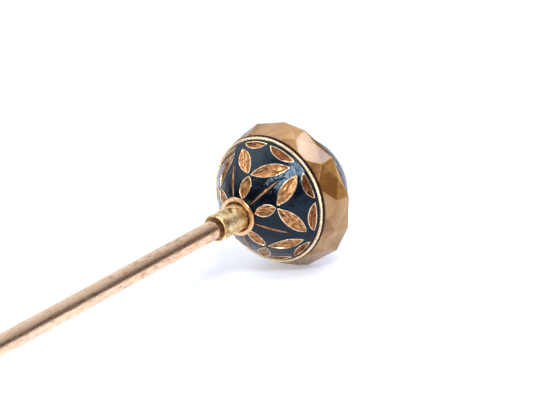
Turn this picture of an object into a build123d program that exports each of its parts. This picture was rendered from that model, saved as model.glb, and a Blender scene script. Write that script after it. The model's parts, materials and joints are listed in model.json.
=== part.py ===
"""A hat pin: a round gold pin soldered to a domed enamelled cup that carries a faceted stone ring
and a crystal dome.

The pin lies on a table, as it is put down: z = 0 is the table, the head is at +X and the point at -X.
The stone's lowest facet and the point touch the table, so the pin's axis slopes up to the head.
All lengths are in millimetres. A place on the head is given by its station, the distance along the
axis ahead of the cup's rim, and by its radius. Azimuths turn about the axis from straight up to -Y.
"""

import os
from math import asin, atan2, cos, degrees, hypot, radians, sin, sqrt, tan

from build123d import *

os.makedirs("parts", exist_ok=True)

# Pin
overall_length = 120.0
shank_radius = 0.85
point_radius = 0.12
taper_length = 16.0
shank_foot_station = -3.05
foot_radius = 0.65
foot_solder_radius = 1.6
foot_solder_bend = (-3.19, 1.2)

# Collar: a short tube soldered round the shank, standing in a dished patch on the cup's pole
collar_radius = 1.18
collar_bore_radius = 1.02
collar_end_station = -7.7
collar_round = 0.07
collar_foot_station = -4.15
solder_recess = 0.10
patch_rim_radius = 1.73
patch_rim_station = -4.64
patch_foot_station = -3.88
patch_bore_radius = 0.66
patch_bead_radius = 0.15
patch_flat_radius = 1.05
patch_back_bend = (-4.07, 1.42)
patch_front_bend = (-4.30, 1.33)
patch_tube_gap = 0.04
patch_wall_radii = (1.715, 1.475)

# Cup: a bowl whose section is a parabola, with its pole towards the pin
cup_radius = 5.33
cup_depth = 3.97
cup_wall = 0.35
lip_height = 0.30
flange_radius = 5.72
flange_thickness = 0.08
enamel_thickness = 0.20
enamel_edge_station = -0.20
enamel_pole_radius = 1.22
rim_wire_radius = 0.17

# Leaves: cells of thin wire stood on the cup, each with a sunk gold inlay, in five units laid by hand.
# A unit's inner and outer leaves meet at its node, which is out of its regular place by an azimuth
# and a radius.
unit_count = 5
unit_azimuth = 10.7
node_shifts = ((-0.7, 0.05), (-1.2, -0.08), (7.5, 0.24), (0, 0), (-2.2, 0.30))
cell_wire = 0.09
cell_proud = 0.05
cell_pole_radius = 1.0
cell_reach = 1.2
inlay_sunk = 0.09
inner_leaf = {"start": (-1.0, 1.48), "end": (-2.5, 3.12), "node": "end", "bulge": 0.50}
outer_leaves = (
    {"start": (0.5, 3.34), "end": (32.0, 4.98), "node": "start", "bulge": 0.56},
    {"start": (-6.5, 3.34), "end": (-28.5, 4.98), "node": "start", "bulge": 0.56},
)
rim_leaves = (
    {"start": (2.5, 5.36), "end": (30.5, 5.36), "bulge": 0.02, "pole_bulge": 0.62},
    {"start": (-27.0, 5.36), "end": (-2.5, 5.36), "bulge": 0.02, "pole_bulge": 0.58},
)
stem = {"start": (36.0, 1.55), "end": (36.0, 4.05), "bulge": 0.085}

# Stone ring: cut by hand to uneven corners, with a kite facet between two rows of triangles for each,
# and bored through for the crystal
corner_azimuths = (-48, -22, 5, 24, 54, 86, 112, 135, 168, 192, 222, 252, 282)
stone_shift = 0.30
stone_shift_azimuth = 151.7
stone_front_station = 3.15
girdle_corner = (2.45, 6.55)
kite_tip_station = 2.15
kite_side = (1.25, 6.15)
star_lean = -38.3
bevel_lean = 48.0
bevel_station = 2.50
blank_margin = 0.5
bore_radius = 4.40
seat_radius = 4.95
seat_station = 2.68

# Crystal
crystal_radius = 4.93
crystal_height = 4.60
foil_thickness = 0.07
cement_back_station = -2.60
glue_gap = 0.02

# The slope of the axis puts the point and the lowest girdle corner on the table.
low_corner = min(corner_azimuths, key=lambda azimuth: abs(azimuth - 180))
corner_drop = girdle_corner[1] * cos(radians(180 - low_corner))
shift_drop = -stone_shift * cos(radians(stone_shift_azimuth))
drop = corner_drop + shift_drop
front_station = stone_front_station + crystal_height
point_station = front_station - overall_length
run = girdle_corner[0] - point_station
slope = degrees(atan2(drop, run) - asin(point_radius / hypot(drop, run)))
forward = Vector(cos(radians(slope)), 0, sin(radians(slope)))
upward = Vector(-sin(radians(slope)), 0, cos(radians(slope)))
rim_height = drop * cos(radians(slope)) - girdle_corner[0] * sin(radians(slope))

# The origin is under the middle of the bounding box.
shift_up = -shift_drop
shift_side = -stone_shift * sin(radians(stone_shift_azimuth))
side_reaches = [girdle_corner[1] * sin(radians(azimuth)) for azimuth in corner_azimuths]
side_middle = (min(side_reaches) + max(side_reaches)) / 2
dome_reach = hypot(crystal_height * cos(radians(slope)), crystal_radius * sin(radians(slope)))
high_x = stone_front_station * forward.X + shift_up * upward.X + dome_reach
low_x = point_station * forward.X - point_radius * sin(radians(slope))
rim_centre = Vector(-(low_x + high_x) / 2, side_middle - shift_side, rim_height)

HEAD = Plane(origin=rim_centre, x_dir=upward, z_dir=forward)
SECTION = Plane(origin=rim_centre, x_dir=forward, z_dir=(0, -1, 0))
PIN_AXIS = Axis(rim_centre, forward)
stone_centre = rim_centre + upward * shift_up + Vector(0, shift_side, 0)
STONE = Plane(origin=stone_centre, x_dir=upward, z_dir=forward)
STONE_SECTION = Plane(origin=stone_centre, x_dir=forward, z_dir=(0, -1, 0))
STONE_AXIS = Axis(stone_centre, forward)


def finish(builder, label):
    """Labels a finished piece and writes it."""
    builder.part.label = label
    export_step(builder.part, f"parts/{label}.step")


def radial(azimuth):
    """The unit vector square to the axis at an azimuth."""
    return upward * cos(radians(azimuth)) + Vector(0, -sin(radians(azimuth)), 0)


def bowl_station(radius, depth, at_radius):
    """The station of a parabolic bowl's surface at a radius."""
    return -depth * (1 - (at_radius / radius) ** 2)


def bowl_radius(radius, depth, station):
    """The radius of a parabolic bowl's surface at a station."""
    return radius * sqrt(1 + station / depth)


def bowl_arc(radius, depth, start, end):
    """Bezier points of the bowl's section from one radius to another, as (station, radius)."""
    first = (bowl_station(radius, depth, start), start)
    middle = (-depth + depth * start * end / radius**2, (start + end) / 2)
    last = (bowl_station(radius, depth, end), end)
    return first, middle, last


def layer_face(low, high, inner_radius, edge_station):
    """The section of a skin on the bowl, from low to high above the cup's metal."""
    low_size = (cup_radius + low, cup_depth + low)
    high_size = (cup_radius + high, cup_depth + high)
    low_arc = bowl_arc(*low_size, inner_radius, bowl_radius(*low_size, edge_station))
    high_arc = bowl_arc(*high_size, inner_radius, bowl_radius(*high_size, edge_station))
    with BuildLine() as outline:
        Bezier(*low_arc)
        Line(low_arc[-1], high_arc[-1])
        Bezier(*high_arc)
        Line(high_arc[0], low_arc[0])
    make_face(outline.edges())


def bowl_point(azimuth, at_radius):
    """A point on the enamel's surface."""
    radius = cup_radius + enamel_thickness
    depth = cup_depth + enamel_thickness
    station = bowl_station(radius, depth, at_radius)
    return rim_centre + forward * station + radial(azimuth) * at_radius


def leaf_end(leaf, unit, end):
    """One end of a leaf on the enamel. The inner leaf turns whole, the others only at the node."""
    azimuth, at_radius = leaf[end]
    turn, rise = node_shifts[unit]
    if leaf is inner_leaf or end == leaf.get("node"):
        azimuth += turn
    if end == leaf.get("node"):
        at_radius += rise
    return bowl_point(unit_azimuth + unit * 360 / unit_count + azimuth, at_radius)


def leaf_plane(leaf, unit):
    """The plane on the bowl under the middle of a leaf, with x along the leaf."""
    start = leaf_end(leaf, unit, "start")
    end = leaf_end(leaf, unit, "end")
    middle = HEAD.to_local_coords((start + end) / 2)
    at_radius = hypot(middle.X, middle.Y)
    azimuth = degrees(atan2(middle.Y, middle.X))
    steepness = 2 * cup_depth * at_radius / cup_radius**2
    outward = radial(azimuth) * steepness - forward
    return Plane(origin=bowl_point(azimuth, at_radius), x_dir=end - start, z_dir=outward)


def leaf_face(leaf, unit, margin):
    """A pointed leaf outline, two arcs, drawn in by a margin. A rim leaf bulges more to the pole."""
    half = (leaf_end(leaf, unit, "end") - leaf_end(leaf, unit, "start")).length / 2
    bulge = leaf["bulge"]
    with BuildLine() as outline:
        SagittaArc((half, 0), (-half, 0), -bulge)
        SagittaArc((-half, 0), (half, 0), -leaf.get("pole_bulge", bulge))
    make_face(outline.edges())
    if margin:
        offset(amount=-margin, kind=Kind.INTERSECTION, mode=Mode.REPLACE)


def leaf_prisms(leaves, margin=0.0, mode=Mode.ADD):
    """Upright prisms through the bowl for every leaf of a kind, in every unit."""
    for leaf in leaves:
        for unit in range(unit_count):
            with BuildSketch(leaf_plane(leaf, unit)) as outline:
                leaf_face(leaf, unit, margin)
            extrude(outline.sketch, amount=cell_reach, both=True, mode=mode)


def build_cells(leaves, label):
    """The upright wire walls of the leaf cells."""
    with BuildPart() as cells:
        leaf_prisms(leaves)
        with BuildSketch(SECTION):
            layer_face(0, enamel_thickness + cell_proud, cell_pole_radius, enamel_edge_station)
        revolve(axis=PIN_AXIS, mode=Mode.INTERSECT)
        leaf_prisms(leaves, cell_wire, Mode.SUBTRACT)
    finish(cells, label)


def build_inlays(leaves, label):
    """The sunk gold floors of the leaf cells."""
    with BuildPart() as inlays:
        leaf_prisms(leaves, cell_wire)
        with BuildSketch(SECTION):
            layer_face(0, enamel_thickness - inlay_sunk, cell_pole_radius, enamel_edge_station)
        revolve(axis=PIN_AXIS, mode=Mode.INTERSECT)
    finish(inlays, label)


def facet_plane(azimuth, station, radius, lean):
    """A facet through a place on the stone, leaning forward from square to the radius."""
    normal = radial(azimuth) * cos(radians(lean)) + forward * sin(radians(lean))
    origin = stone_centre + forward * station + radial(azimuth) * radius
    return Plane(origin=origin, z_dir=normal)


def corner(azimuth, place):
    """A corner of the stone at an azimuth and a (station, radius) place."""
    return stone_centre + forward * place[0] + radial(azimuth) * place[1]


def facet_through(first, second, third):
    """A facet through three corners of the stone, facing out."""
    normal = (second - first).cross(third - first)
    if normal.dot(first - stone_centre) < 0:
        normal = -normal
    return Plane(origin=first, z_dir=normal)


# The pin, pointed at the far end and turned down at its foot, which goes through the collar and cup
with BuildPart() as pin_shank:
    with BuildSketch(SECTION):
        with BuildLine():
            Polyline(
                (shank_foot_station, 0),
                (shank_foot_station, foot_radius),
                (collar_end_station, foot_radius),
                (collar_end_station, shank_radius),
                (point_station + taper_length, shank_radius),
                (point_station, point_radius),
                (point_station, 0),
                close=True,
            )
        make_face()
    revolve(axis=PIN_AXIS)
finish(pin_shank, "pin_shank")

with BuildPart() as collar_tube:
    with BuildSketch(HEAD.offset(collar_end_station)):
        Circle(collar_radius)
        Circle(collar_bore_radius, mode=Mode.SUBTRACT)
    extrude(amount=collar_foot_station - collar_end_station)
    end_circles = collar_tube.edges().filter_by(GeomType.CIRCLE).group_by(PIN_AXIS)[0]
    fillet(end_circles.sort_by(SortBy.LENGTH)[-1], radius=collar_round)
finish(collar_tube, "collar_tube")

with BuildPart() as collar_solder:
    with BuildSketch(HEAD.offset(collar_end_station + solder_recess)):
        Circle(collar_bore_radius)
        Circle(foot_radius, mode=Mode.SUBTRACT)
    extrude(amount=collar_foot_station - collar_end_station - solder_recess)
finish(collar_solder, "collar_solder")

# The dished patch: a flat floor for the tube and a flared wall that ends in a round bead
bead_place = (patch_rim_station + patch_bead_radius, patch_rim_radius - patch_bead_radius)
patch_back_foot = (patch_foot_station, patch_bore_radius)
patch_back_edge = (patch_foot_station, patch_flat_radius)
patch_front_foot = (collar_foot_station, patch_bore_radius)
patch_front_edge = (collar_foot_station, collar_radius + patch_tube_gap)
wall_back = (bead_place[0], patch_wall_radii[0])
wall_front = (bead_place[0], patch_wall_radii[1])
with BuildPart() as collar_patch:
    with BuildSketch(SECTION):
        with BuildLine():
            Line(patch_front_edge, patch_front_foot)
            Line(patch_front_foot, patch_back_foot)
            Line(patch_back_foot, patch_back_edge)
            ThreePointArc(patch_back_edge, patch_back_bend, wall_back)
            Line(wall_back, wall_front)
            ThreePointArc(wall_front, patch_front_bend, patch_front_edge)
        make_face()
    with BuildSketch(SECTION):
        with Locations(bead_place):
            Circle(patch_bead_radius)
    revolve(axis=PIN_AXIS)
finish(collar_patch, "collar_patch")

# The cup, spun from sheet, with a short straight lip and a thin flange under the stone
inner_radius = cup_radius - cup_wall
inner_depth = cup_depth - cup_wall
with BuildPart() as cup_shell:
    with BuildSketch(SECTION):
        hole = foot_radius + glue_gap
        outer_arc = bowl_arc(cup_radius, cup_depth, hole, cup_radius)
        inner_arc = bowl_arc(inner_radius, inner_depth, hole, inner_radius)
        with BuildLine():
            Bezier(*outer_arc)
            Line(outer_arc[-1], (lip_height - flange_thickness, cup_radius))
            Line((lip_height - flange_thickness, cup_radius), (lip_height - flange_thickness, flange_radius))
            Line((lip_height - flange_thickness, flange_radius), (lip_height, flange_radius))
            Line((lip_height, flange_radius), (lip_height, inner_radius))
            Line((lip_height, inner_radius), inner_arc[-1])
            Bezier(*inner_arc)
            Line(inner_arc[0], outer_arc[0])
        make_face()
    revolve(axis=PIN_AXIS)
finish(cup_shell, "cup_shell")

# Solder that holds the pin's foot inside the cup
with BuildPart() as foot_solder:
    with BuildSketch(SECTION):
        with BuildLine():
            foot_low = (bowl_station(inner_radius, inner_depth, foot_radius), foot_radius)
            foot_out = (bowl_station(inner_radius, inner_depth, foot_solder_radius), foot_solder_radius)
            Line(foot_low, foot_out)
            ThreePointArc(foot_out, foot_solder_bend, (shank_foot_station, foot_radius))
            Line((shank_foot_station, foot_radius), foot_low)
        make_face()
    revolve(axis=PIN_AXIS)
finish(foot_solder, "foot_solder")

# Dark enamel all over the cup's outside, open under every leaf cell
with BuildPart() as enamel_ground:
    with BuildSketch(SECTION):
        layer_face(0, enamel_thickness, enamel_pole_radius, enamel_edge_station)
    revolve(axis=PIN_AXIS)
    for kind in ((inner_leaf,), outer_leaves, rim_leaves, (stem,)):
        leaf_prisms(kind, mode=Mode.SUBTRACT)
finish(enamel_ground, "enamel_ground")

build_cells((inner_leaf,), "inner_leaf_wires")
build_inlays((inner_leaf,), "inner_leaf_inlays")
build_cells(outer_leaves, "outer_leaf_wires")
build_inlays(outer_leaves, "outer_leaf_inlays")
build_cells(rim_leaves, "rim_leaf_wires")
build_inlays(rim_leaves, "rim_leaf_inlays")

with BuildPart() as stem_wires:
    leaf_prisms((stem,))
    with BuildSketch(SECTION):
        layer_face(0, enamel_thickness + cell_proud, cell_pole_radius, enamel_edge_station)
    revolve(axis=PIN_AXIS, mode=Mode.INTERSECT)
finish(stem_wires, "stem_wires")

with BuildPart() as rim_wire:
    with BuildSketch(SECTION):
        with Locations((0, cup_radius + rim_wire_radius)):
            Circle(rim_wire_radius)
    revolve(axis=PIN_AXIS)
finish(rim_wire, "rim_wire")

# The stone: a round blank, cut back by every facet and then bored. The girdle facets lean as the
# pin slopes, so the lowest one lies flat on the table.
kite_tip_rise = (kite_tip_station - girdle_corner[0]) * tan(radians(slope))
facets = []
next_corners = corner_azimuths[1:] + (corner_azimuths[0] + 360,)
for azimuth, next_azimuth in zip(corner_azimuths, next_corners):
    middle = (azimuth + next_azimuth) / 2
    girdle_radius = girdle_corner[1] * cos(radians(next_azimuth - azimuth) / 2)
    tip = corner(middle, (kite_tip_station, girdle_radius + kite_tip_rise))
    sides = (corner(azimuth, kite_side), corner(next_azimuth, kite_side))
    fronts = (corner(azimuth, girdle_corner), corner(next_azimuth, girdle_corner))
    facets.append(facet_through(tip, *sides))
    facets.append(facet_through(tip, *fronts))
    facets.append(facet_through(tip, sides[0], fronts[0]))
    facets.append(facet_through(tip, sides[1], fronts[1]))
    facets.append(facet_plane(middle, bevel_station, girdle_radius, bevel_lean))
    facets.append(facet_plane(azimuth, *kite_side, star_lean))
with BuildPart() as stone_ring:
    with BuildSketch(STONE.offset(lip_height)):
        Circle(girdle_corner[1] + blank_margin)
    extrude(amount=stone_front_station - lip_height)
    for facet in facets:
        split(bisect_by=facet, keep=Keep.BOTTOM)
    with BuildSketch(STONE.offset(lip_height)):
        Circle(bore_radius)
    extrude(amount=stone_front_station - lip_height, mode=Mode.SUBTRACT)
    with BuildSketch(STONE.offset(seat_station)):
        Circle(seat_radius)
    extrude(amount=stone_front_station - seat_station, mode=Mode.SUBTRACT)
finish(stone_ring, "stone_ring")

with BuildPart() as foil_disc:
    with BuildSketch(STONE.offset(seat_station)):
        Circle(crystal_radius)
    extrude(amount=foil_thickness)
finish(foil_disc, "foil_disc")

# The crystal: a low plug in the stone's seat under half an ellipsoid
crystal_foot = seat_station + foil_thickness
with BuildPart() as crystal_dome:
    with BuildSketch(STONE_SECTION):
        with BuildLine():
            Line((crystal_foot, 0), (crystal_foot, crystal_radius))
            Line((crystal_foot, crystal_radius), (stone_front_station, crystal_radius))
            EllipticalCenterArc((stone_front_station, 0), crystal_height, crystal_radius, arc_size=90)
            Line((front_station, 0), (crystal_foot, 0))
        make_face()
    revolve(axis=STONE_AXIS)
finish(crystal_dome, "crystal_dome")

# Cement that fills the cup and the stone's bore behind the foil
with BuildPart() as cement_fill:
    with BuildSketch(SECTION):
        fill_radius = inner_radius - glue_gap
        fill_depth = inner_depth - glue_gap
        fill_start = bowl_radius(fill_radius, fill_depth, cement_back_station)
        fill_arc = bowl_arc(fill_radius, fill_depth, fill_start, fill_radius)
        with BuildLine():
            Line((lip_height, 0), (cement_back_station, 0))
            Line((cement_back_station, 0), (cement_back_station, fill_start))
            Bezier(*fill_arc)
            Line(fill_arc[-1], (lip_height, fill_radius))
            Line((lip_height, fill_radius), (lip_height, 0))
        make_face()
    revolve(axis=PIN_AXIS)
    with BuildSketch(STONE.offset(lip_height)):
        Circle(bore_radius - glue_gap)
    extrude(amount=seat_station - lip_height)
finish(cement_fill, "cement_fill")
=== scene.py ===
"""A gold hat pin with an enamelled head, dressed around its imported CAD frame.

Meshes are worked out in millimetres and written in metres, in the row frame. A place on the head is
given as (station, up, side): the distance along the pin ahead of the cup's rim, and two offsets
square to the pin. Azimuths turn from up to side, which is -Y.
"""

import json
import math

import bmesh
import bpy
import numpy as np
from mathutils import Matrix, Vector, noise


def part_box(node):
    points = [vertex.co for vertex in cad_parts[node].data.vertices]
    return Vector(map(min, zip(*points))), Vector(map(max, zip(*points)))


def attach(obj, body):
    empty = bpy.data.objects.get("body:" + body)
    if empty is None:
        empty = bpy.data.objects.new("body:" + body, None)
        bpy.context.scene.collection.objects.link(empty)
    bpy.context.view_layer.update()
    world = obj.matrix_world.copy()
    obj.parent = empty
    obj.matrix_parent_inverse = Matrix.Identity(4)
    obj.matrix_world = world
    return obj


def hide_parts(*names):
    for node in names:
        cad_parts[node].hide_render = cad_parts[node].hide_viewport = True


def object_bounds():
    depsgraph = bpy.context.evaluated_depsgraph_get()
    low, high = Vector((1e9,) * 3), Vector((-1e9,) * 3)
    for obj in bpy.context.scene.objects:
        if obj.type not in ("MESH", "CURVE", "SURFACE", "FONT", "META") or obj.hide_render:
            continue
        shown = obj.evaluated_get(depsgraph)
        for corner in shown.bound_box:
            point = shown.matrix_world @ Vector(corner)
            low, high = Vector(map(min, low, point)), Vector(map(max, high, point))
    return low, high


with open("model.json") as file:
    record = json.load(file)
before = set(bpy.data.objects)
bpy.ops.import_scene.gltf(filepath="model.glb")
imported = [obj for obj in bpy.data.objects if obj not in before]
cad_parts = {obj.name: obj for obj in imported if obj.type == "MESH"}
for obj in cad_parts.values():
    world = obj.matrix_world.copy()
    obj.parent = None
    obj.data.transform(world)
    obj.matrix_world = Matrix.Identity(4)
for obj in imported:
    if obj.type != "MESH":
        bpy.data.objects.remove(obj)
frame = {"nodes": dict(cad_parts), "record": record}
cad_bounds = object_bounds()

MM = 0.001
nodes = frame["nodes"]
record = frame["record"]

# ---------------------------------------------------------------- the frame's own places


def middle(node):
    """The middle of a CAD node's box, in millimetres."""
    low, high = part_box(node)
    return np.array((low + high) / 2) / MM


shank_mount = record["mounts"][0]
FORWARD = -np.array(shank_mount["axis"])
UPWARD = np.array((-FORWARD[2], 0.0, FORWARD[0]))
SIDEWARD = np.array((0.0, -1.0, 0.0))
RIM = middle("rim_wire")
STONE_OFFSET = middle("foil_disc") - RIM
STONE = RIM + UPWARD * (STONE_OFFSET @ UPWARD) + SIDEWARD * (STONE_OFFSET @ SIDEWARD)
shank_radius = shank_mount["dims"]["r_mm"]
floor_height = cad_bounds[0][2]

# Sizes and stations shared with the CAD parts, in millimetres, and azimuths in degrees
CUP_RADIUS, CUP_DEPTH = 5.33, 3.97
ENAMEL = 0.20
UNIT_COUNT = 5
UNIT_AZIMUTH = 10.7
# How far each unit's node, where its three leaves meet, is out of place in azimuth and in radius
NODE_SHIFTS = ((-0.7, 0.05), (-1.2, -0.08), (7.5, 0.24), (0, 0), (-2.2, 0.30))
FOOT_STATION, FOOT_RADIUS, TAPER_LENGTH = -3.05, 0.64, 16.0
COLLAR_END, COLLAR_FOOT = -7.7, -4.17
COLLAR_BORE, COLLAR_RADIUS = 1.02, 1.18
PATCH_RIM = (-4.64, 1.73)
CRYSTAL_FOOT, CRYSTAL_BASE, CRYSTAL_RADIUS, CRYSTAL_HEIGHT = 2.76, 3.15, 4.93, 4.60

# ---------------------------------------------------------------- mesh helpers


def to_row(local, centre=RIM):
    """(station, up, side) rows to the row frame, in metres."""
    local = np.asarray(local, float)
    return (centre + local[..., :1] * FORWARD + local[..., 1:2] * UPWARD + local[..., 2:3] * SIDEWARD) * MM


def ring_points(station, radius, azimuth):
    """Head places from station, radius and azimuth arrays."""
    return np.stack(np.broadcast_arrays(station, radius * np.cos(azimuth), radius * np.sin(azimuth)), -1)


def noise_of(points, scale, seed=0.0):
    """Smooth seeded noise, about -1 to 1, at rows of points."""
    flat = np.asarray(points, float).reshape(-1, 3) * scale + (seed * 7.31, seed * 3.17, seed * 5.77)
    values = [noise.noise(Vector(p)) for p in flat]
    return np.array(values).reshape(np.asarray(points).shape[:-1])


def make_mesh(name, points, faces, material, smooth=True, surface_map=None):
    """A mesh object from row-frame points in metres. surface_map has two values a point for its material."""
    mesh = bpy.data.meshes.new(name)
    mesh.from_pydata([tuple(p) for p in points], [], [tuple(f) for f in faces])
    mesh.polygons.foreach_set("use_smooth", [smooth] * len(mesh.polygons))
    mesh.materials.append(material)
    if surface_map is not None:
        corners = np.empty(len(mesh.loops), int)
        mesh.loops.foreach_get("vertex_index", corners)
        mesh.uv_layers.new(name="surface").data.foreach_set("uv", np.asarray(surface_map)[corners].ravel())
    mesh.update()
    piece = bpy.data.objects.new(name, mesh)
    bpy.context.scene.collection.objects.link(piece)
    return piece


def grid_faces(rows, columns, wrap_rows=False, wrap_columns=False, first=0):
    """Quads over a grid of points, numbered row by row."""
    last_row = rows if wrap_rows else rows - 1
    last_column = columns if wrap_columns else columns - 1
    faces = []
    for i in range(last_row):
        for j in range(last_column):
            a = first + i * columns + j
            b = first + i * columns + (j + 1) % columns
            c = first + ((i + 1) % rows) * columns + (j + 1) % columns
            d = first + ((i + 1) % rows) * columns + j
            faces.append((a, b, c, d))
    return faces


def slab_faces(along, across, first):
    """The faces of a closed slab: rows of points over its top and back under it, with capped ends."""
    around = 2 * across
    faces = grid_faces(along, around, wrap_columns=True, first=first)
    faces.append(tuple(range(first, first + around))[::-1])
    faces.append(tuple(range(first + (along - 1) * around, first + along * around)))
    return faces


def rounded_profile(corners, step=0.05):
    """A (station, radius) polyline whose corners (station, radius, round) are rounded."""
    points = []
    for i, (x, y, r) in enumerate(corners):
        here = np.array((x, y))
        if r == 0 or i in (0, len(corners) - 1):
            points.append(here)
            continue
        before = np.array(corners[i - 1][:2]) - here
        after = np.array(corners[i + 1][:2]) - here
        start = here + before / np.linalg.norm(before) * r
        end = here + after / np.linalg.norm(after) * r
        for t in np.linspace(0, 1, max(4, int(r / step) + 4)):
            points.append(start * (1 - t) ** 2 + here * 2 * t * (1 - t) + end * t**2)
    return np.array(points)


def fill_profile(profile, step):
    """The profile with points added so that no span is longer than step."""
    filled = [profile[0]]
    for start, end in zip(profile[:-1], profile[1:]):
        count = max(1, math.ceil(np.linalg.norm(end - start) / step))
        for k in range(1, count + 1):
            filled.append(start + (end - start) * k / count)
    return np.array(filled)


def lathe(name, profile, material, segments, centre=RIM, wobble=None, closed=False):
    """A piece turned about the pin's direction through centre. wobble(places) gives radial offsets."""
    azimuth = np.linspace(0, 2 * math.pi, segments, endpoint=False)
    stations = profile[:, 0][:, None]
    radii = profile[:, 1][:, None]
    places = ring_points(stations, radii, azimuth[None, :])
    if wobble is not None:
        swell = wobble(places)
        places = places + swell[..., None] * ring_points(0, 1.0, azimuth[None, :])
    rows = len(profile)
    faces = grid_faces(rows, segments, wrap_rows=closed, wrap_columns=True)
    points = to_row(places, centre).reshape(-1, 3)
    if not closed:
        faces.append(tuple(range(segments))[::-1])
        faces.append(tuple(range((rows - 1) * segments, rows * segments)))
    return make_mesh(name, points, faces, material)


def keep(piece, *cad_nodes, slot):
    """Puts a finished piece on the pin in place of its CAD nodes."""
    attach(piece, "root")
    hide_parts(*cad_nodes)


# ---------------------------------------------------------------- material helpers


class Shade:
    """A material's node tree with short calls for the nodes used here."""

    def __init__(self, name):
        self.material = bpy.data.materials.new(name)
        self.material.use_nodes = True
        self.tree = self.material.node_tree
        self.nodes = self.tree.nodes
        self.bsdf = self.nodes["Principled BSDF"]
        self.place = self.nodes.new("ShaderNodeTexCoord").outputs["Object"]

    def set(self, **values):
        """Sets sockets of the Principled shader, by name with _ for a space."""
        for name, value in values.items():
            self.bsdf.inputs[name.replace("_", " ")].default_value = value

    def link(self, output, name):
        """Links an output to a socket of the Principled shader."""
        self.tree.links.new(output, self.bsdf.inputs[name])

    def node(self, kind, inputs=None, **settings):
        """A new node with its settings and inputs, an input being a value or an output."""
        node = self.nodes.new("ShaderNode" + kind)
        for name, value in settings.items():
            setattr(node, name, value)
        for name, value in (inputs or {}).items():
            socket = node.inputs[name]
            if isinstance(value, bpy.types.NodeSocket):
                self.tree.links.new(value, socket)
            else:
                socket.default_value = value
        return node

    def stretched(self, along):
        """Object coordinates turned by the pin's slope, with X, nearly the pin's direction, times along."""
        turn = math.atan2(FORWARD[2], FORWARD[0])
        mapping = self.node("Mapping", {"Vector": self.place, "Rotation": (0, turn, 0)})
        mapping.inputs["Scale"].default_value = (along, 1.0, 1.0)
        return mapping.outputs["Vector"]

    def noise(self, scale, detail, roughness=0.5, vector=None, distortion=0.0):
        """A noise texture's factor. scale is in features per metre."""
        inputs = {"Vector": vector or self.place, "Scale": scale, "Detail": detail}
        inputs.update({"Roughness": roughness, "Distortion": distortion})
        return self.node("TexNoise", inputs).outputs["Fac"]

    def ramp(self, factor, *stops):
        """A colour ramp over (position, colour) stops."""
        node = self.node("ValToRGB", {"Fac": factor})
        elements = node.color_ramp.elements
        while len(elements) < len(stops):
            elements.new(0.5)
        for element, (position, colour) in zip(elements, stops):
            element.position = position
            element.color = (*colour, 1)
        return node.outputs["Color"]

    def span(self, factor, low, high, start=0.0, end=1.0):
        """The factor mapped from start..end to low..high, clamped."""
        inputs = {"Value": factor, "From Min": start, "From Max": end, "To Min": low, "To Max": high}
        return self.node("MapRange", inputs).outputs["Result"]

    def mix(self, factor, a, b):
        """Two colours mixed, each an output or four numbers."""
        return self.node("Mix", {0: factor, 6: a, 7: b}, data_type="RGBA").outputs[2]

    def math(self, operation, a, b):
        """A math node's value."""
        return self.node("Math", {0: a, 1: b}, operation=operation).outputs["Value"]

    def bump(self, height, distance, strength, normal=None):
        """A bump from a height, its distance in metres."""
        inputs = {"Height": height, "Distance": distance, "Strength": strength}
        if normal is not None:
            inputs["Normal"] = normal
        return self.node("Bump", inputs).outputs["Normal"]


def shank_gold():
    """Pinkish drawn gold, browner and pitted where it is worn, with fine scratches along the wire."""
    s = Shade("shank_gold")
    s.set(Metallic=1.0)
    worn = s.noise(90, 4, 0.6, s.stretched(0.5))
    pits = s.noise(3200, 5, 0.75, s.stretched(0.35))
    streak = s.noise(2600, 5, 0.6, s.stretched(0.08))
    clean = s.ramp(streak, (0.34, (0.84, 0.54, 0.35)), (0.58, (0.98, 0.69, 0.47)))
    brown = s.ramp(pits, (0.38, (0.38, 0.19, 0.10)), (0.52, (0.92, 0.62, 0.41)))
    s.link(s.mix(s.span(worn, 0.10, 0.75, 0.42, 0.62), clean, brown), "Base Color")
    s.link(s.span(pits, 0.36, 0.24, 0.4, 0.6), "Roughness")
    fine = s.bump(s.noise(5200, 4, 0.6, s.stretched(0.05)), 0.00002, 0.4)
    s.link(s.bump(pits, 0.00004, 0.5, fine), "Normal")
    return s.material


def collar_gold():
    """Yellow gold, pitted and rubbed, with brown tarnish in the pits."""
    s = Shade("collar_gold")
    s.set(Metallic=1.0)
    cloud = s.noise(1500, 5, 0.65, distortion=0.6)
    pits = s.noise(5200, 4, 0.7)
    tint = s.ramp(cloud, (0.36, (0.15, 0.08, 0.02)), (0.45, (0.70, 0.44, 0.16)), (0.57, (1.0, 0.80, 0.46)))
    s.link(s.mix(s.span(pits, 0.0, 0.6, 0.52, 0.72), tint, (0.22, 0.12, 0.04, 1)), "Base Color")
    s.link(s.span(pits, 0.2, 0.48), "Roughness")
    s.link(s.bump(pits, 0.00007, 0.7, s.bump(cloud, 0.00015, 0.7)), "Normal")
    return s.material


def bright_gold(name="bright_gold", pale=(0.94, 0.72, 0.46), dark=(0.40, 0.19, 0.09)):
    """Bright worn gold, darker where the polish hasn't reached."""
    s = Shade(name)
    s.set(Metallic=1.0)
    cloud = s.noise(2200, 4, 0.6)
    s.link(s.ramp(cloud, (0.32, dark), (0.50, pale)), "Base Color")
    s.link(s.span(cloud, 0.34, 0.16), "Roughness")
    s.link(s.bump(s.noise(6000, 4, 0.6), 0.00003, 0.4), "Normal")
    return s.material


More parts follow.
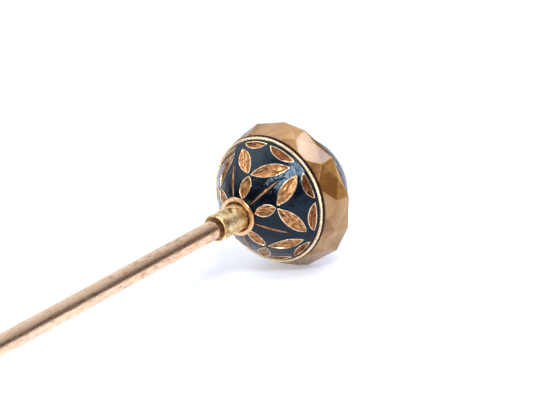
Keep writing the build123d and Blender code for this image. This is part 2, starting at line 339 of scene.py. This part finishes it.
def milled_gold_notch_shade():
    """The rim wire's gold, pale on its crests, with shade painted near black into its notches. The map's v
    is the crest.
    """
    s = Shade("milled_gold_notch_shade")
    s.set(Metallic=1.0)
    crest = s.node("SeparateXYZ", {"Vector": s.node("UVMap", uv_map="surface").outputs["UV"]}).outputs["Y"]
    cloud = s.noise(1800, 4, 0.6)
    # Painted shade: the colour runs from pale gold on the crests to near black in the notches, mixed with
    # random cloud
    bright = s.math("ADD", s.math("MULTIPLY", crest, 0.6), s.math("MULTIPLY", cloud, 0.5))
    dark, pale = (0.09, 0.035, 0.015), (0.96, 0.76, 0.50)
    s.link(s.ramp(bright, (0.42, dark), (0.72, pale)), "Base Color")
    s.link(s.span(cloud, 0.34, 0.18), "Roughness")
    return s.material


def shaded_leaf_gold(name="shaded_leaf_gold", dark=(0.06, 0.018, 0.008), mid=(0.38, 0.16, 0.06), pale=(0.92, 0.60, 0.29)):
    """Engraved gold painted orange-brown as shade and warm bounce light in the sunk cells, and near black in
    the cuts' hollows as painted shade. The cuts run along each leaf, which is the map's u direction.
    """
    s = Shade(name)
    s.set(Metallic=1.0)
    along = s.node("UVMap", uv_map="surface").outputs["UV"]
    stretch = s.node("Mapping", {"Vector": along, "Scale": (1.6, 9.0, 1.0)}).outputs["Vector"]
    cuts = s.noise(1.0, 5, 0.65, stretch, 0.4)
    cloud = s.noise(2600, 4, 0.7, distortion=0.8)
    # Painted shade: the colour goes near black where the cuts run low, mixed with random cloud
    depth = s.math("ADD", s.math("MULTIPLY", cuts, 0.65), s.math("MULTIPLY", cloud, 0.35))
    s.link(s.ramp(depth, (0.40, dark), (0.51, mid), (0.66, pale)), "Base Color")
    s.link(s.span(cuts, 0.42, 0.2), "Roughness")
    s.link(s.bump(cuts, 0.00005, 0.6, s.bump(s.noise(7000, 3, 0.6), 0.00003, 0.6)), "Normal")
    return s.material


def navy_enamel():
    """Glossy near-black navy glass, hand polished, with faint clouds, scratches and pinholes."""
    s = Shade("navy_enamel")
    cloud = s.noise(420, 4, 0.6, distortion=0.5)
    s.link(s.ramp(cloud, (0.35, (0.0008, 0.0012, 0.0025)), (0.7, (0.002, 0.004, 0.009))), "Base Color")
    s.set(Specular_IOR_Level=0.36)
    s.bsdf.inputs["Specular Tint"].default_value = (0.55, 0.78, 1.0, 1)
    rubbed = s.noise(1100, 6, 0.7, distortion=1.0)
    s.link(s.span(rubbed, 0.05, 0.12, 0.42, 0.66), "Roughness")
    scratches = s.noise(900, 5, 0.75, s.stretched(4.0), 1.5)
    pinholes = s.span(s.noise(6500, 2, 0.5), 0.0, 1.0, 0.24, 0.34)
    fine = s.bump(scratches, 0.00008, 0.35)
    s.link(s.bump(pinholes, 0.00003, 0.5, s.bump(cloud, 0.0004, 0.35, fine)), "Normal")
    return s.material


def gap_shade_lip():
    """Near-black red-brown metal colour, painted shade for the gap between the wire and the stone."""
    s = Shade("gap_shade_lip")
    s.set(Metallic=0.8, Roughness=0.5)
    s.link(s.ramp(s.noise(2600, 4), (0.35, (0.03, 0.010, 0.006)), (0.7, (0.16, 0.05, 0.02))), "Base Color")
    return s.material


def caramel_stone():
    """Translucent caramel agate, cloudy inside, each facet with its own tone and the worn edges lighter as
    painted highlight, both carried by the map's u.
    """
    s = Shade("caramel_stone")
    tone = s.node("SeparateXYZ", {"Vector": s.node("UVMap", uv_map="surface").outputs["UV"]}).outputs["X"]
    cloud = s.math("ADD", s.noise(230, 5, 0.6, distortion=1.2), tone)
    dark, mid, pale = (0.17, 0.07, 0.016), (0.37, 0.185, 0.055), (0.58, 0.36, 0.17)
    tint = s.ramp(cloud, (0.28, dark), (0.50, mid), (0.76, pale))
    s.link(tint, "Base Color")
    s.set(Roughness=0.05, IOR=1.54, Subsurface_Weight=0.3, Subsurface_Scale=0.0015, Transmission_Weight=0.18)
    s.bsdf.inputs["Subsurface Radius"].default_value = (1.0, 0.5, 0.2)
    s.link(s.bump(s.noise(1500, 3), 0.00003, 0.3), "Normal")
    return s.material


def clear_crystal():
    """Clear lavender crystal with slate-purple streaks round it."""
    s = Shade("clear_crystal")
    s.set(Roughness=0.02, IOR=1.55, Transmission_Weight=1.0)
    streaks = s.noise(420, 4, 0.65, s.stretched(3.5), 1.0)
    tint = s.ramp(streaks, (0.47, (0.03, 0.02, 0.08)), (0.54, (0.80, 0.83, 1.0)))
    s.link(tint, "Base Color")
    s.link(s.bump(s.noise(300, 2), 0.00004, 0.2), "Normal")
    return s.material


def dark_foil():
    """Dark slate-purple foil behind the crystal, slightly crumpled."""
    s = Shade("dark_foil")
    s.set(Metallic=0.7, Roughness=0.35)
    cloud = s.noise(500, 4, 0.6, distortion=1.0)
    s.link(s.ramp(cloud, (0.35, (0.01, 0.01, 0.03)), (0.7, (0.10, 0.09, 0.22))), "Base Color")
    s.link(s.bump(cloud, 0.0002, 0.6), "Normal")
    return s.material


def dull_solder():
    """Grey-brown solder."""
    s = Shade("dull_solder")
    s.set(Metallic=0.9, Roughness=0.5)
    s.link(s.ramp(s.noise(1800, 4), (0.35, (0.16, 0.08, 0.04)), (0.7, (0.50, 0.32, 0.18))), "Base Color")
    return s.material


def brown_cement():
    """Matt brown shellac cement."""
    s = Shade("brown_cement")
    s.set(Roughness=0.8)
    s.link(s.ramp(s.noise(700, 4), (0.35, (0.10, 0.05, 0.03)), (0.7, (0.22, 0.12, 0.07))), "Base Color")
    s.link(s.bump(s.noise(1500, 4), 0.0001, 0.5), "Normal")
    return s.material


SHANK_GOLD = shank_gold()
COLLAR_GOLD = collar_gold()
BRIGHT_GOLD = bright_gold()
WIRE_GOLD = milled_gold_notch_shade()
PATCH_GOLD = bright_gold("patch_gold", (0.82, 0.53, 0.32), (0.40, 0.20, 0.10))
SHADED_LEAF_GOLD = shaded_leaf_gold()
# A darker copy of the same painted-shade leaf gold, for the rim leaves
RIM_SHADED_LEAF_GOLD = shaded_leaf_gold("rim_shaded_leaf_gold", (0.045, 0.012, 0.006), (0.22, 0.07, 0.028), (0.75, 0.40, 0.16))
NAVY_ENAMEL = navy_enamel()
GAP_SHADE_LIP = gap_shade_lip()
CARAMEL_STONE = caramel_stone()
CLEAR_CRYSTAL = clear_crystal()
DARK_FOIL = dark_foil()
DULL_SOLDER = dull_solder()
BROWN_CEMENT = brown_cement()

# ---------------------------------------------------------------- the bowl and its leaves


def bowl_station(radius, level):
    """The station of the bowl's skin at a radius, level above the cup's metal."""
    return -(CUP_DEPTH + level) * (1 - (radius / (CUP_RADIUS + level)) ** 2)


# A distance, in millimetres, that stands for anything out of reach
FAR = 9.0


class Leaf:
    """A leaf on the bowl: the plane that touches its middle, x along it, and two arcs from end to end."""

    def __init__(self, kind, unit, start, end, bulge, pole_bulge=None):
        self.bulges = (bulge if pole_bulge is None else pole_bulge, bulge)
        turn = UNIT_AZIMUTH + unit * 360 / UNIT_COUNT
        node_end = {"inner": 1, "outer": 0}.get(kind)
        ends = []
        for index, (azimuth, radius) in enumerate((start, end)):
            if kind == "inner" or index == node_end:
                azimuth += NODE_SHIFTS[unit][0]
            if index == node_end:
                radius += NODE_SHIFTS[unit][1]
            angle = math.radians(turn + azimuth)
            ends.append(ring_points(bowl_station(radius, ENAMEL), radius, angle))
        centre = (ends[0] + ends[1]) / 2
        radius = math.hypot(centre[1], centre[2])
        radial = np.array((0, centre[1] / radius, centre[2] / radius))
        self.origin = np.array((bowl_station(radius, ENAMEL), centre[1], centre[2]))
        steepness = 2 * CUP_DEPTH * radius / CUP_RADIUS**2
        self.z = radial * steepness - (1, 0, 0)
        self.z /= np.linalg.norm(self.z)
        self.half = np.linalg.norm(ends[1] - ends[0]) / 2
        x = ends[1] - ends[0]
        x -= self.z * (x @ self.z)
        self.x = x / np.linalg.norm(x)
        self.y = np.cross(self.x, self.z)

    def width(self, x, side):
        """The distance from the middle line to the outline, on the side of y with that sign."""
        bulge = self.bulges[0] if side > 0 else self.bulges[1]
        big = (self.half**2 + bulge**2) / (2 * bulge)
        return np.sqrt(np.maximum(big**2 - x**2, 0)) - (big - bulge)

    def distance(self, places):
        """The distance from the outline at places near the bowl, under 0 inside, FAR well away from it."""
        offset = places - self.origin
        x, y = offset @ self.x, offset @ self.y
        result = np.full(x.shape, -np.inf)
        for bulge, sign in zip(self.bulges, (1, -1)):
            big = (self.half**2 + bulge**2) / (2 * bulge)
            result = np.maximum(result, np.hypot(x, y * sign + big - bulge) - big)
        return np.where(np.linalg.norm(offset, axis=-1) > self.half * 1.6, FAR, result)

    def on_bowl(self, x, y, level):
        """Places on the bowl's skin at a level, above points of the leaf's plane."""
        x, y, level = np.broadcast_arrays(x, y, level)
        start = self.origin + x[..., None] * self.x + y[..., None] * self.y
        depth = CUP_DEPTH + level
        curve = depth / (CUP_RADIUS + level) ** 2
        a = curve * (self.z[1] ** 2 + self.z[2] ** 2)
        b = -self.z[0] + 2 * curve * (start[..., 1] * self.z[1] + start[..., 2] * self.z[2])
        c = -start[..., 0] - depth + curve * (start[..., 1] ** 2 + start[..., 2] ** 2)
        travel = -2 * c / (b + np.sqrt(b * b - 4 * a * c))
        return start + travel[..., None] * self.z


# Each leaf's two ends, as (azimuth in its unit, radius), its bulge, and its bulge on the pole's side
# where that one differs
LEAF_KINDS = {
    "inner": (((-1.0, 1.48), (-2.5, 3.12), 0.50),),
    "outer": (((0.5, 3.34), (32.0, 4.98), 0.56), ((-6.5, 3.34), (-28.5, 4.98), 0.56)),
    "rim": (((2.5, 5.36), (30.5, 5.36), 0.15, 0.62), ((-27.0, 5.36), (-2.5, 5.36), 0.12, 0.58)),
    "stem": (((36.0, 1.55), (36.0, 4.05), 0.085),),
}
LEAVES = {}
for kind, shapes in LEAF_KINDS.items():
    LEAVES[kind] = [Leaf(kind, unit, *shape) for unit in range(UNIT_COUNT) for shape in shapes]


def enamel_piece():
    """The enamel skin: it dips under every leaf and climbs a little against every cell wall."""
    segments, rows = 720, 120
    pole_radius, edge_radius = 1.15, 5.39
    climb_height, climb_reach = 0.035, 0.07
    dip_depth, dip_start, dip_width, wave_height = 0.192, 0.02, 0.05, 0.012
    radii = np.linspace(pole_radius, edge_radius, rows)
    azimuth = np.linspace(0, 2 * math.pi, segments, endpoint=False)
    places = ring_points(bowl_station(radii, ENAMEL)[:, None], radii[:, None], azimuth[None, :])
    nearest = np.full(places.shape[:2], FAR)
    for group in LEAVES.values():
        for leaf in group:
            nearest = np.minimum(nearest, leaf.distance(places))
    steep = 2 * CUP_DEPTH * radii / CUP_RADIUS**2
    outward = ring_points(-1.0, steep[:, None], azimuth[None, :])
    outward /= np.linalg.norm(outward, axis=-1, keepdims=True)
    climb = climb_height * np.exp(-np.maximum(nearest, 0) / climb_reach)
    dip = -dip_depth * np.clip((dip_start - nearest) / dip_width, 0, 1)
    wave = wave_height * noise_of(places, 1.3, 1)
    places = places + (climb + dip + wave)[..., None] * outward
    under = ring_points(bowl_station(radii, 0.005)[:, None], radii[:, None], azimuth[None, :])
    skin = np.concatenate([places, under[::-1]])
    faces = grid_faces(2 * rows, segments, wrap_rows=True, wrap_columns=True)
    return make_mesh("enamel_skin", to_row(skin).reshape(-1, 3), faces, NAVY_ENAMEL)


def inlay_piece(kind, name):
    """The sunk engraved floors of one kind of leaf, cut down to a vein with strokes along them."""
    along, across = 72, 45
    reach, margin = 0.985, 0.01
    edge_level, vein_depth, lowest, underside = 0.15, 0.085, 0.03, 0.004
    points, faces, spots = [], [], []
    for index, leaf in enumerate(LEAVES[kind]):
        x = leaf.half * np.linspace(-reach, reach, along)[:, None]
        part = np.linspace(-1, 1, across)[None, :]
        width = np.where(part > 0, leaf.width(x, 1), leaf.width(x, -1))
        y = part * (width - margin)
        vein = 0.08 * noise.noise(Vector((index * 3.1, 0.5, 0.5)))
        level = edge_level - vein_depth * (1 - np.abs(part - vein) ** 1.2) * np.clip(width / 0.35, 0, 1)
        x_all, y_all, seed = np.broadcast_arrays(x, y, index * 3.7)
        strokes = noise_of(np.stack([x_all * 1.3, y_all * 9.0, seed], -1), 1.0, 2)
        grain = noise_of(np.stack([x_all, y_all, seed], -1), 6.0, 5)
        level = np.maximum(level + 0.030 * strokes + 0.012 * grain, lowest)
        under = leaf.on_bowl(x, y, underside + 0 * level)[:, ::-1]
        both = np.concatenate([leaf.on_bowl(x, y, level), under], axis=1)
        faces += slab_faces(along, across, len(points) * along * across * 2)
        points.append(to_row(both).reshape(-1, 3))
        spot = np.stack([x_all + index * 7.3, y_all], -1)
        spots.append(np.concatenate([spot, spot[:, ::-1]], axis=1).reshape(-1, 2))
    gold = RIM_SHADED_LEAF_GOLD if kind == "rim" else SHADED_LEAF_GOLD
    return make_mesh(name, np.concatenate(points), faces, gold, surface_map=np.concatenate(spots))


# A cell wall's section: (half walls across, lifts above the enamel or, below 0, sinks into it)
WALL_SECTION = ((1, -0.9), (1, 0.4), (0.6, 0.9), (0, 1.0), (-0.6, 0.9), (-1, 0.3), (-1.2, -3.0))


def outline_piece(kind, name):
    """The raised bright cell walls round one kind of leaf, worn and a little uneven."""
    count = 128
    half_width, height, sink = 0.038, 0.030, 0.04
    points, faces = [], []
    for index, leaf in enumerate(LEAVES[kind]):
        turn = np.linspace(0, 2 * math.pi, count, endpoint=False)
        x = leaf.half * np.cos(turn)
        side = np.where(np.sin(turn) >= 0, 1.0, -1.0)
        width = np.where(side > 0, leaf.width(x, 1), leaf.width(x, -1))
        path = np.stack([x, side * width], -1)
        tangent = np.roll(path, -1, 0) - np.roll(path, 1, 0)
        tangent /= np.maximum(np.linalg.norm(tangent, axis=1, keepdims=True), 1e-6)
        normal = np.stack([tangent[:, 1], -tangent[:, 0]], -1)
        sample = np.stack([path[:, 0], path[:, 1], np.full(count, index * 5.3)], -1)
        half_wall = half_width * (1 + 0.5 * noise_of(sample, 2.5, 3) + 0.4 * noise_of(sample, 8.0, 6))
        lift = height + 0.025 * noise_of(sample, 2.2, 4)
        sway = 0.02 * noise_of(sample, 1.8, 12)
        rows = []
        for offset, rise in WALL_SECTION:
            at = path + normal * (half_wall * offset + sway)[:, None]
            level = ENAMEL + np.where(rise > 0, lift * rise, sink * rise)
            rows.append(leaf.on_bowl(at[:, 0], at[:, 1], level))
        first = len(points) * len(rows) * count
        faces += grid_faces(len(rows), count, wrap_rows=True, wrap_columns=True, first=first)
        points.append(to_row(np.array(rows)).reshape(-1, 3))
    return make_mesh(name, np.concatenate(points), faces, BRIGHT_GOLD)


def stem_piece():
    """The straight tapered stems, rounded ridges with small nicks."""
    along, across = 80, 9
    sunk, ridge, underside = 0.03, 0.075, 0.05
    points, faces, spots = [], [], []
    for index, leaf in enumerate(LEAVES["stem"]):
        x = leaf.half * np.linspace(-0.99, 0.99, along)[:, None]
        part = np.linspace(-1, 1, across)[None, :]
        x_all, part_all, seed = np.broadcast_arrays(x, part * 0.2, index * 4.1)
        nicks = noise_of(np.stack([x_all, part_all, seed], -1), 5.0, 5)
        width = (1.2 * leaf.width(x, 1) + 0.02) * (1 + 0.3 * nicks[:, 4:5])
        level = ENAMEL - sunk + ridge * np.sqrt(1 - part**2) + 0.025 * nicks
        places = leaf.on_bowl(x, part * width, level)
        under = leaf.on_bowl(x, part * width, underside + 0 * level)[:, ::-1]
        both = np.concatenate([places, under], axis=1)
        faces += slab_faces(along, across, len(points) * along * across * 2)
        points.append(to_row(both).reshape(-1, 3))
        spot = np.stack([x_all + index * 7.3, part_all], -1)
        spots.append(np.concatenate([spot, spot[:, ::-1]], axis=1).reshape(-1, 2))
    spots = np.concatenate(spots)
    return make_mesh("stem_ridges", np.concatenate(points), faces, SHADED_LEAF_GOLD, surface_map=spots)


keep(enamel_piece(), "enamel_ground", slot="enamel")
for kind in ("inner", "outer", "rim"):
    keep(inlay_piece(kind, f"{kind}_leaf_floors"), f"{kind}_leaf_inlays", slot="gold_leaf")
    keep(outline_piece(kind, f"{kind}_leaf_outlines"), f"{kind}_leaf_wires", slot="gold_trim")
keep(stem_piece(), "stem_wires", slot="gold_leaf")

# ---------------------------------------------------------------- rim wire


def rim_wire_piece():
    """The milled wire round the rim, notched all along and rubbed uneven."""
    notches, around, steps = 220, 16, 2640
    wire, notch_depth, slant = 0.168, 0.50, 0.012
    ring_radius = CUP_RADIUS + 0.17
    azimuth = np.linspace(0, 2 * math.pi, steps, endpoint=False)[:, None]
    angle = np.linspace(0, 2 * math.pi, around, endpoint=False)[None, :]
    notch = np.abs(np.sin((azimuth + slant * np.sin(angle)) * notches / 2)) ** 0.8
    rubbed = 0.5 + 0.5 * noise_of(ring_points(0, ring_radius, azimuth[:, 0]), 0.5, 6)[:, None]
    cut = (1 - notch) * (0.4 + 0.6 * rubbed)
    section = wire * (1 - notch_depth * cut)
    places = ring_points(section * np.sin(angle), ring_radius + section * np.cos(angle), azimuth)
    faces = grid_faces(steps, around, wrap_rows=True, wrap_columns=True)
    # The map's v paints shade into the notches through the wire's material
    notch_shade_map = np.stack(np.broadcast_arrays(azimuth, 1 - cut), -1).reshape(-1, 2)
    return make_mesh("rim_milling", to_row(places).reshape(-1, 3), faces, WIRE_GOLD, surface_map=notch_shade_map)


keep(rim_wire_piece(), "rim_wire", slot="gold_trim")

# ---------------------------------------------------------------- pin and collar


def shank_piece():
    """The drawn round pin, very slightly uneven, with its foot and its ground point."""
    lowest_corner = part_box("pin_shank")[0]
    tip = (np.array(lowest_corner) / MM - RIM) @ FORWARD
    corners = [(FOOT_STATION, FOOT_RADIUS, 0), (COLLAR_END, FOOT_RADIUS, 0)]
    corners += [(COLLAR_END - 0.001, shank_radius, 0), (tip + TAPER_LENGTH, shank_radius, 0)]
    corners += [(tip + 0.12, 0.14, 0), (tip + 0.02, 0.08, 0)]
    profile = fill_profile(rounded_profile(corners), 0.6)

    def wobble(places):
        radius = np.hypot(places[..., 1], places[..., 2])
        return np.where(radius > 0.7, 0.012 * noise_of(places, 0.6, 7), 0.0)

    return lathe("drawn_pin", profile, SHANK_GOLD, 96, wobble=wobble)


def collar_piece():
    """The rough collar tube, open round the pin, with a rounded worn end."""
    corners = [(COLLAR_FOOT, COLLAR_RADIUS, 0), (COLLAR_END, COLLAR_RADIUS, 0.09)]
    corners += [(COLLAR_END, COLLAR_BORE, 0.05), (COLLAR_FOOT, COLLAR_BORE, 0)]
    profile = fill_profile(rounded_profile(corners, 0.02), 0.08)

    def wobble(places):
        radius = np.hypot(places[..., 1], places[..., 2])
        rough = 0.022 * noise_of(places, 1.7, 8) + 0.012 * noise_of(places, 5.0, 9)
        return np.where(radius > (COLLAR_BORE + COLLAR_RADIUS) / 2, rough, 0.3 * rough)

    return lathe("rough_collar", profile, COLLAR_GOLD, 160, wobble=wobble, closed=True)


def patch_piece():
    """The dished patch with its thick rolled rim, bent a little out of true."""
    rim_station, rim_radius = PATCH_RIM
    corners = [(-3.90, 0.68, 0), (-3.88, 1.05, 0.1), (-4.05, 1.40, 0.25), (-4.42, rim_radius, 0.12)]
    corners += [(rim_station, rim_radius, 0.12), (rim_station + 0.03, rim_radius - 0.40, 0.12)]
    corners += [(-4.36, 1.30, 0.08), (-4.16, 1.22, 0.03), (-4.15, 0.68, 0)]
    profile = fill_profile(rounded_profile(corners, 0.02), 0.06)

    def wobble(places):
        reach = np.clip((np.hypot(places[..., 1], places[..., 2]) - 1.25) / 0.4, 0, 1)
        return reach * (0.04 * noise_of(places, 0.7, 10) + 0.008 * noise_of(places, 3.0, 11))

    return lathe("dished_patch", profile, PATCH_GOLD, 160, wobble=wobble, closed=True)


keep(shank_piece(), "pin_shank", slot="gold_pin")
keep(collar_piece(), "collar_tube", slot="gold_collar")
keep(patch_piece(), "collar_patch", slot="gold_trim")

# ---------------------------------------------------------------- stone and crystal


def stone_piece():
    """The cut stone with its facet edges worn round, a random tone for each facet and a lighter tone on the
    worn edges as painted highlight.
    """
    weld, flat = 0.002 * MM, math.radians(1.5)
    girdle_reach, least_angle, worn = 5.35 * MM, math.radians(6), 0.05 * MM
    facet_area, facet_contrast, edge_highlight = 0.3 * MM**2, 0.45, 0.1
    source = nodes["stone_ring"]
    cut = bmesh.new()
    cut.from_mesh(source.data)
    cut.transform(source.matrix_world)
    bmesh.ops.remove_doubles(cut, verts=cut.verts, dist=weld)
    bmesh.ops.dissolve_limit(cut, angle_limit=flat, verts=cut.verts, edges=cut.edges)
    axis = Vector(FORWARD)
    outer = []
    for edge in cut.edges:
        offset = (edge.verts[0].co + edge.verts[1].co) / 2 - Vector(STONE * MM)
        far = (offset - axis * offset.dot(axis)).length > girdle_reach
        if far and edge.is_manifold and edge.calc_face_angle() > least_angle:
            outer.append(edge)
    bmesh.ops.bevel(cut, geom=outer, offset=worn, segments=2, profile=0.5, affect="EDGES")
    tone_and_highlight_layer = cut.loops.layers.uv.new("surface")
    for face in cut.faces:
        # Big faces get a random tone; the small faces of the worn edges get a fixed lighter tone, a painted
        # highlight
        if face.calc_area() > facet_area:
            tone = facet_contrast * noise.noise(face.normal * 2.3 + Vector((4.1, 0.7, 2.9)))
        else:
            tone = edge_highlight
        for loop in face.loops:
            loop[tone_and_highlight_layer].uv = (tone, 0.0)
    mesh = bpy.data.meshes.new("cut_stone")
    cut.to_mesh(mesh)
    cut.free()
    mesh.polygons.foreach_set("use_smooth", [False] * len(mesh.polygons))
    mesh.materials.append(CARAMEL_STONE)
    piece = bpy.data.objects.new("cut_stone", mesh)
    bpy.context.scene.collection.objects.link(piece)
    return piece


keep(stone_piece(), "stone_ring", slot="agate")


def crystal_piece():
    """The crystal: a short plug under a polished dome."""
    angle = np.linspace(0, math.pi / 2, 48)[:-1]
    dome = np.stack([CRYSTAL_BASE + CRYSTAL_HEIGHT * np.sin(angle), CRYSTAL_RADIUS * np.cos(angle)], -1)
    foot = np.array([(CRYSTAL_FOOT, 0.02), (CRYSTAL_FOOT, CRYSTAL_RADIUS)])
    top = np.array([(CRYSTAL_BASE + CRYSTAL_HEIGHT, 0.02)])
    profile = np.concatenate([foot, dome, top])
    return lathe("polished_crystal", profile, CLEAR_CRYSTAL, 160, centre=STONE)


keep(crystal_piece(), "crystal_dome", slot="crystal")

# ---------------------------------------------------------------- CAD nodes that stay as they are

for node, material in (
    # The cup shell's near-black colour is painted shade for the gap round the stone
    ("cup_shell", GAP_SHADE_LIP),
    ("collar_solder", DULL_SOLDER),
    ("foot_solder", DULL_SOLDER),
    ("foil_disc", DARK_FOIL),
    ("cement_fill", BROWN_CEMENT),
):
    for material_slot in nodes[node].material_slots:
        material_slot.material = material

# ---------------------------------------------------------------- stage, light and camera

# The camera looks at the back of the head, this many degrees off the pin's axis and at this azimuth,
# with the pin rising this steeply across the picture
VIEW_OFF_AXIS, VIEW_AZIMUTH, PIN_RISE = 42.13, 61.45, 28.55
# The view's width at the head and the camera's distance, in millimetres, and how far the middle of
# the view is right of and above the middle of the rim
VIEW_WIDTH, VIEW_DISTANCE = 46.0845, 350.0
VIEW_RIGHT, VIEW_ABOVE = 0.055, -0.259
SENSOR_WIDTH = 36.0
# How far the two windows are from the head, in metres
WINDOW_DISTANCE = 0.8


def head_direction(off_axis, azimuth):
    """The direction that leans off the backward axis towards an azimuth."""
    lean, turn = math.radians(off_axis), math.radians(azimuth)
    across = UPWARD * math.cos(turn) + SIDEWARD * math.sin(turn)
    return across * math.sin(lean) - FORWARD * math.cos(lean)


TO_CAMERA = head_direction(VIEW_OFF_AXIS, VIEW_AZIMUTH)


def add_floor():
    """A plain pale table."""
    s = Shade("pale_table")
    s.set(Roughness=0.55, Emission_Strength=0.42)
    s.bsdf.inputs["Emission Color"].default_value = (0.92, 0.94, 1.0, 1)
    s.link(s.ramp(s.noise(12, 2), (0.3, (0.58, 0.60, 0.67)), (0.7, (0.60, 0.62, 0.69))), "Base Color")
    size = 1.2
    corners = [(-size, -size), (size, -size), (size, size), (-size, size)]
    points = [(x, y, floor_height) for x, y in corners]
    floor = make_mesh("table_top", points, [(0, 1, 2, 3)], s.material, smooth=False)


def add_world():
    """A pale studio, dark low down except on the far side. The camera itself sees a plain backdrop."""
    world = bpy.data.worlds.new("studio")
    bpy.context.scene.world = world
    world.use_nodes = True
    tree = world.node_tree

    def node(kind, **inputs):
        made = tree.nodes.new("ShaderNode" + kind)
        for name, value in inputs.items():
            socket = made.inputs[int(name[1:])]
            if isinstance(value, bpy.types.NodeSocket):
                tree.links.new(value, socket)
            else:
                socket.default_value = value
        return made

    dark, bright, plain = (0.07, 0.055, 0.05, 1), (0.84, 0.92, 1.0, 1), (0.92, 0.94, 0.97, 1)
    direction = node("TexCoord").outputs["Generated"]
    height = node("SeparateXYZ", _0=direction).outputs["Z"]
    away = np.array((-TO_CAMERA[0], -TO_CAMERA[1], 0.0))
    behind = node("VectorMath", _0=direction, _1=tuple(away / np.linalg.norm(away)))
    behind.operation = "DOT_PRODUCT"
    high = node("MapRange", _0=height, _1=0.50, _2=0.95, _3=0.0, _4=1.0).outputs[0]
    back = node("MapRange", _0=behind.outputs["Value"], _1=0.35, _2=0.75, _3=0.0, _4=1.0).outputs[0]
    lit = node("Math", _0=high, _1=back)
    lit.operation = "MAXIMUM"
    ramp = node("ValToRGB", _0=lit.outputs[0])
    ramp.color_ramp.elements[0].color = dark
    ramp.color_ramp.elements[1].color = bright
    seen = node("LightPath").outputs["Is Camera Ray"]
    backdrop = node("MixRGB", _0=seen, _1=ramp.outputs["Color"], _2=plain)
    background = tree.nodes["Background"]
    tree.links.new(backdrop.outputs[0], background.inputs["Color"])
    background.inputs["Strength"].default_value = 1.1


def add_light(name, place, target, size, power, colour=(1, 1, 1)):
    """A soft rectangular light aimed at a point."""
    data = bpy.data.lights.new(name, "AREA")
    data.shape = "RECTANGLE"
    data.size, data.size_y = size
    data.energy = power
    data.color = colour
    lamp = bpy.data.objects.new(name, data)
    bpy.context.scene.collection.objects.link(lamp)
    lamp.location = place
    aim = Vector(target) - Vector(place)
    lamp.rotation_euler = aim.to_track_quat("-Z", "Y").to_euler()


def add_camera():
    """A long lens aimed at the back of the head, with the pin slanting up to it."""
    along = FORWARD - TO_CAMERA * (FORWARD @ TO_CAMERA)
    along /= np.linalg.norm(along)
    square = np.cross(TO_CAMERA, along)
    rise = math.radians(PIN_RISE)
    right = along * math.cos(rise) - square * math.sin(rise)
    above = along * math.sin(rise) + square * math.cos(rise)
    target = RIM + right * VIEW_RIGHT + above * VIEW_ABOVE
    data = bpy.data.cameras.new("camera")
    data.sensor_width = SENSOR_WIDTH
    data.lens = SENSOR_WIDTH * VIEW_DISTANCE / VIEW_WIDTH
    data.clip_start = 0.01
    camera = bpy.data.objects.new("camera", data)
    bpy.context.scene.collection.objects.link(camera)
    camera.location = (target + TO_CAMERA * VIEW_DISTANCE) * MM
    camera.rotation_euler = Matrix((right, above, TO_CAMERA)).transposed().to_euler()
    bpy.context.scene.camera = camera


add_floor()
add_world()
add_camera()

# Two windows, one for the enamel to mirror and one for the stone, and a soft lamp up on the left
head = Vector(RIM * MM)
enamel_window = head + Vector(head_direction(63.5, 38.5)) * WINDOW_DISTANCE
stone_window = head + Vector(head_direction(94.8, 29.0)) * WINDOW_DISTANCE
add_light("enamel_window", enamel_window, head, (0.18, 0.16), 5.0, (0.92, 0.96, 1.0))
add_light("stone_window", stone_window, head, (0.34, 0.30), 2.2, (1.0, 0.94, 1.0))
add_light("top_left", head + Vector((-0.25, 0.45, 0.6)), head, (0.8, 0.6), 2.8)
bpy.context.scene.view_settings.view_transform = "Standard"
